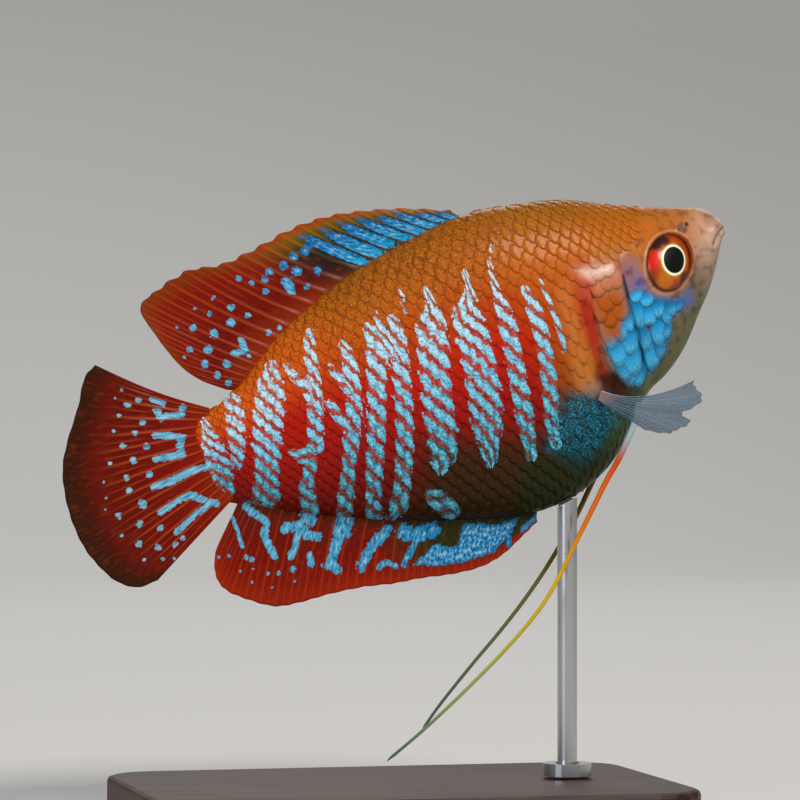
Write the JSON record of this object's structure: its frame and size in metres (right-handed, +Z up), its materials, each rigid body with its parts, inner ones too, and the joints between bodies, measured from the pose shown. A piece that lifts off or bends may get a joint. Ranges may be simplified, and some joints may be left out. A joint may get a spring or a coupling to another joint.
{
  "type": "dwarf gourami display model",
  "caption": "Life-size dwarf gourami swimming nose up, with ridged fins and two long trailing feelers, held by a rod over a flat base.",
  "frame": {"origin": "centre of the base's underside, on the floor", "axes": "+X the way the fish faces, +Y to the fish's left, +Z up"},
  "size_m": [0.0753, 0.04, 0.0682],
  "materials": {
    "skin": "wet scaled skin, red with bright blue bars",
    "eye": "clear glossy eye with a red iris and a black pupil",
    "fin": "thin rayed membrane, deep red with blue spots",
    "clear_fin": "thin clear rayed membrane",
    "feeler": "smooth thread, orange turning yellow",
    "stand_wood": "dark oiled wood",
    "stand_steel": "satin"
  },
  "bodies": {
    "root": {"head": "skin", "lower_jaw": "skin", "gill_cover_left": "skin", "gill_cover_right": "skin", "trunk": "skin", "tail_stalk": "skin", "eye_left": "eye", "eye_right": "eye", "dorsal_fin": "fin", "anal_fin": "fin", "caudal_fin": "fin", "pectoral_fin_left": "clear_fin", "pectoral_fin_right": "clear_fin", "pelvic_feeler_left": "feeler", "pelvic_feeler_right": "feeler", "stand_base": "stand_wood", "stand_rod": "stand_steel", "stand_collar": "stand_steel"}
  },
  "joints": []
}
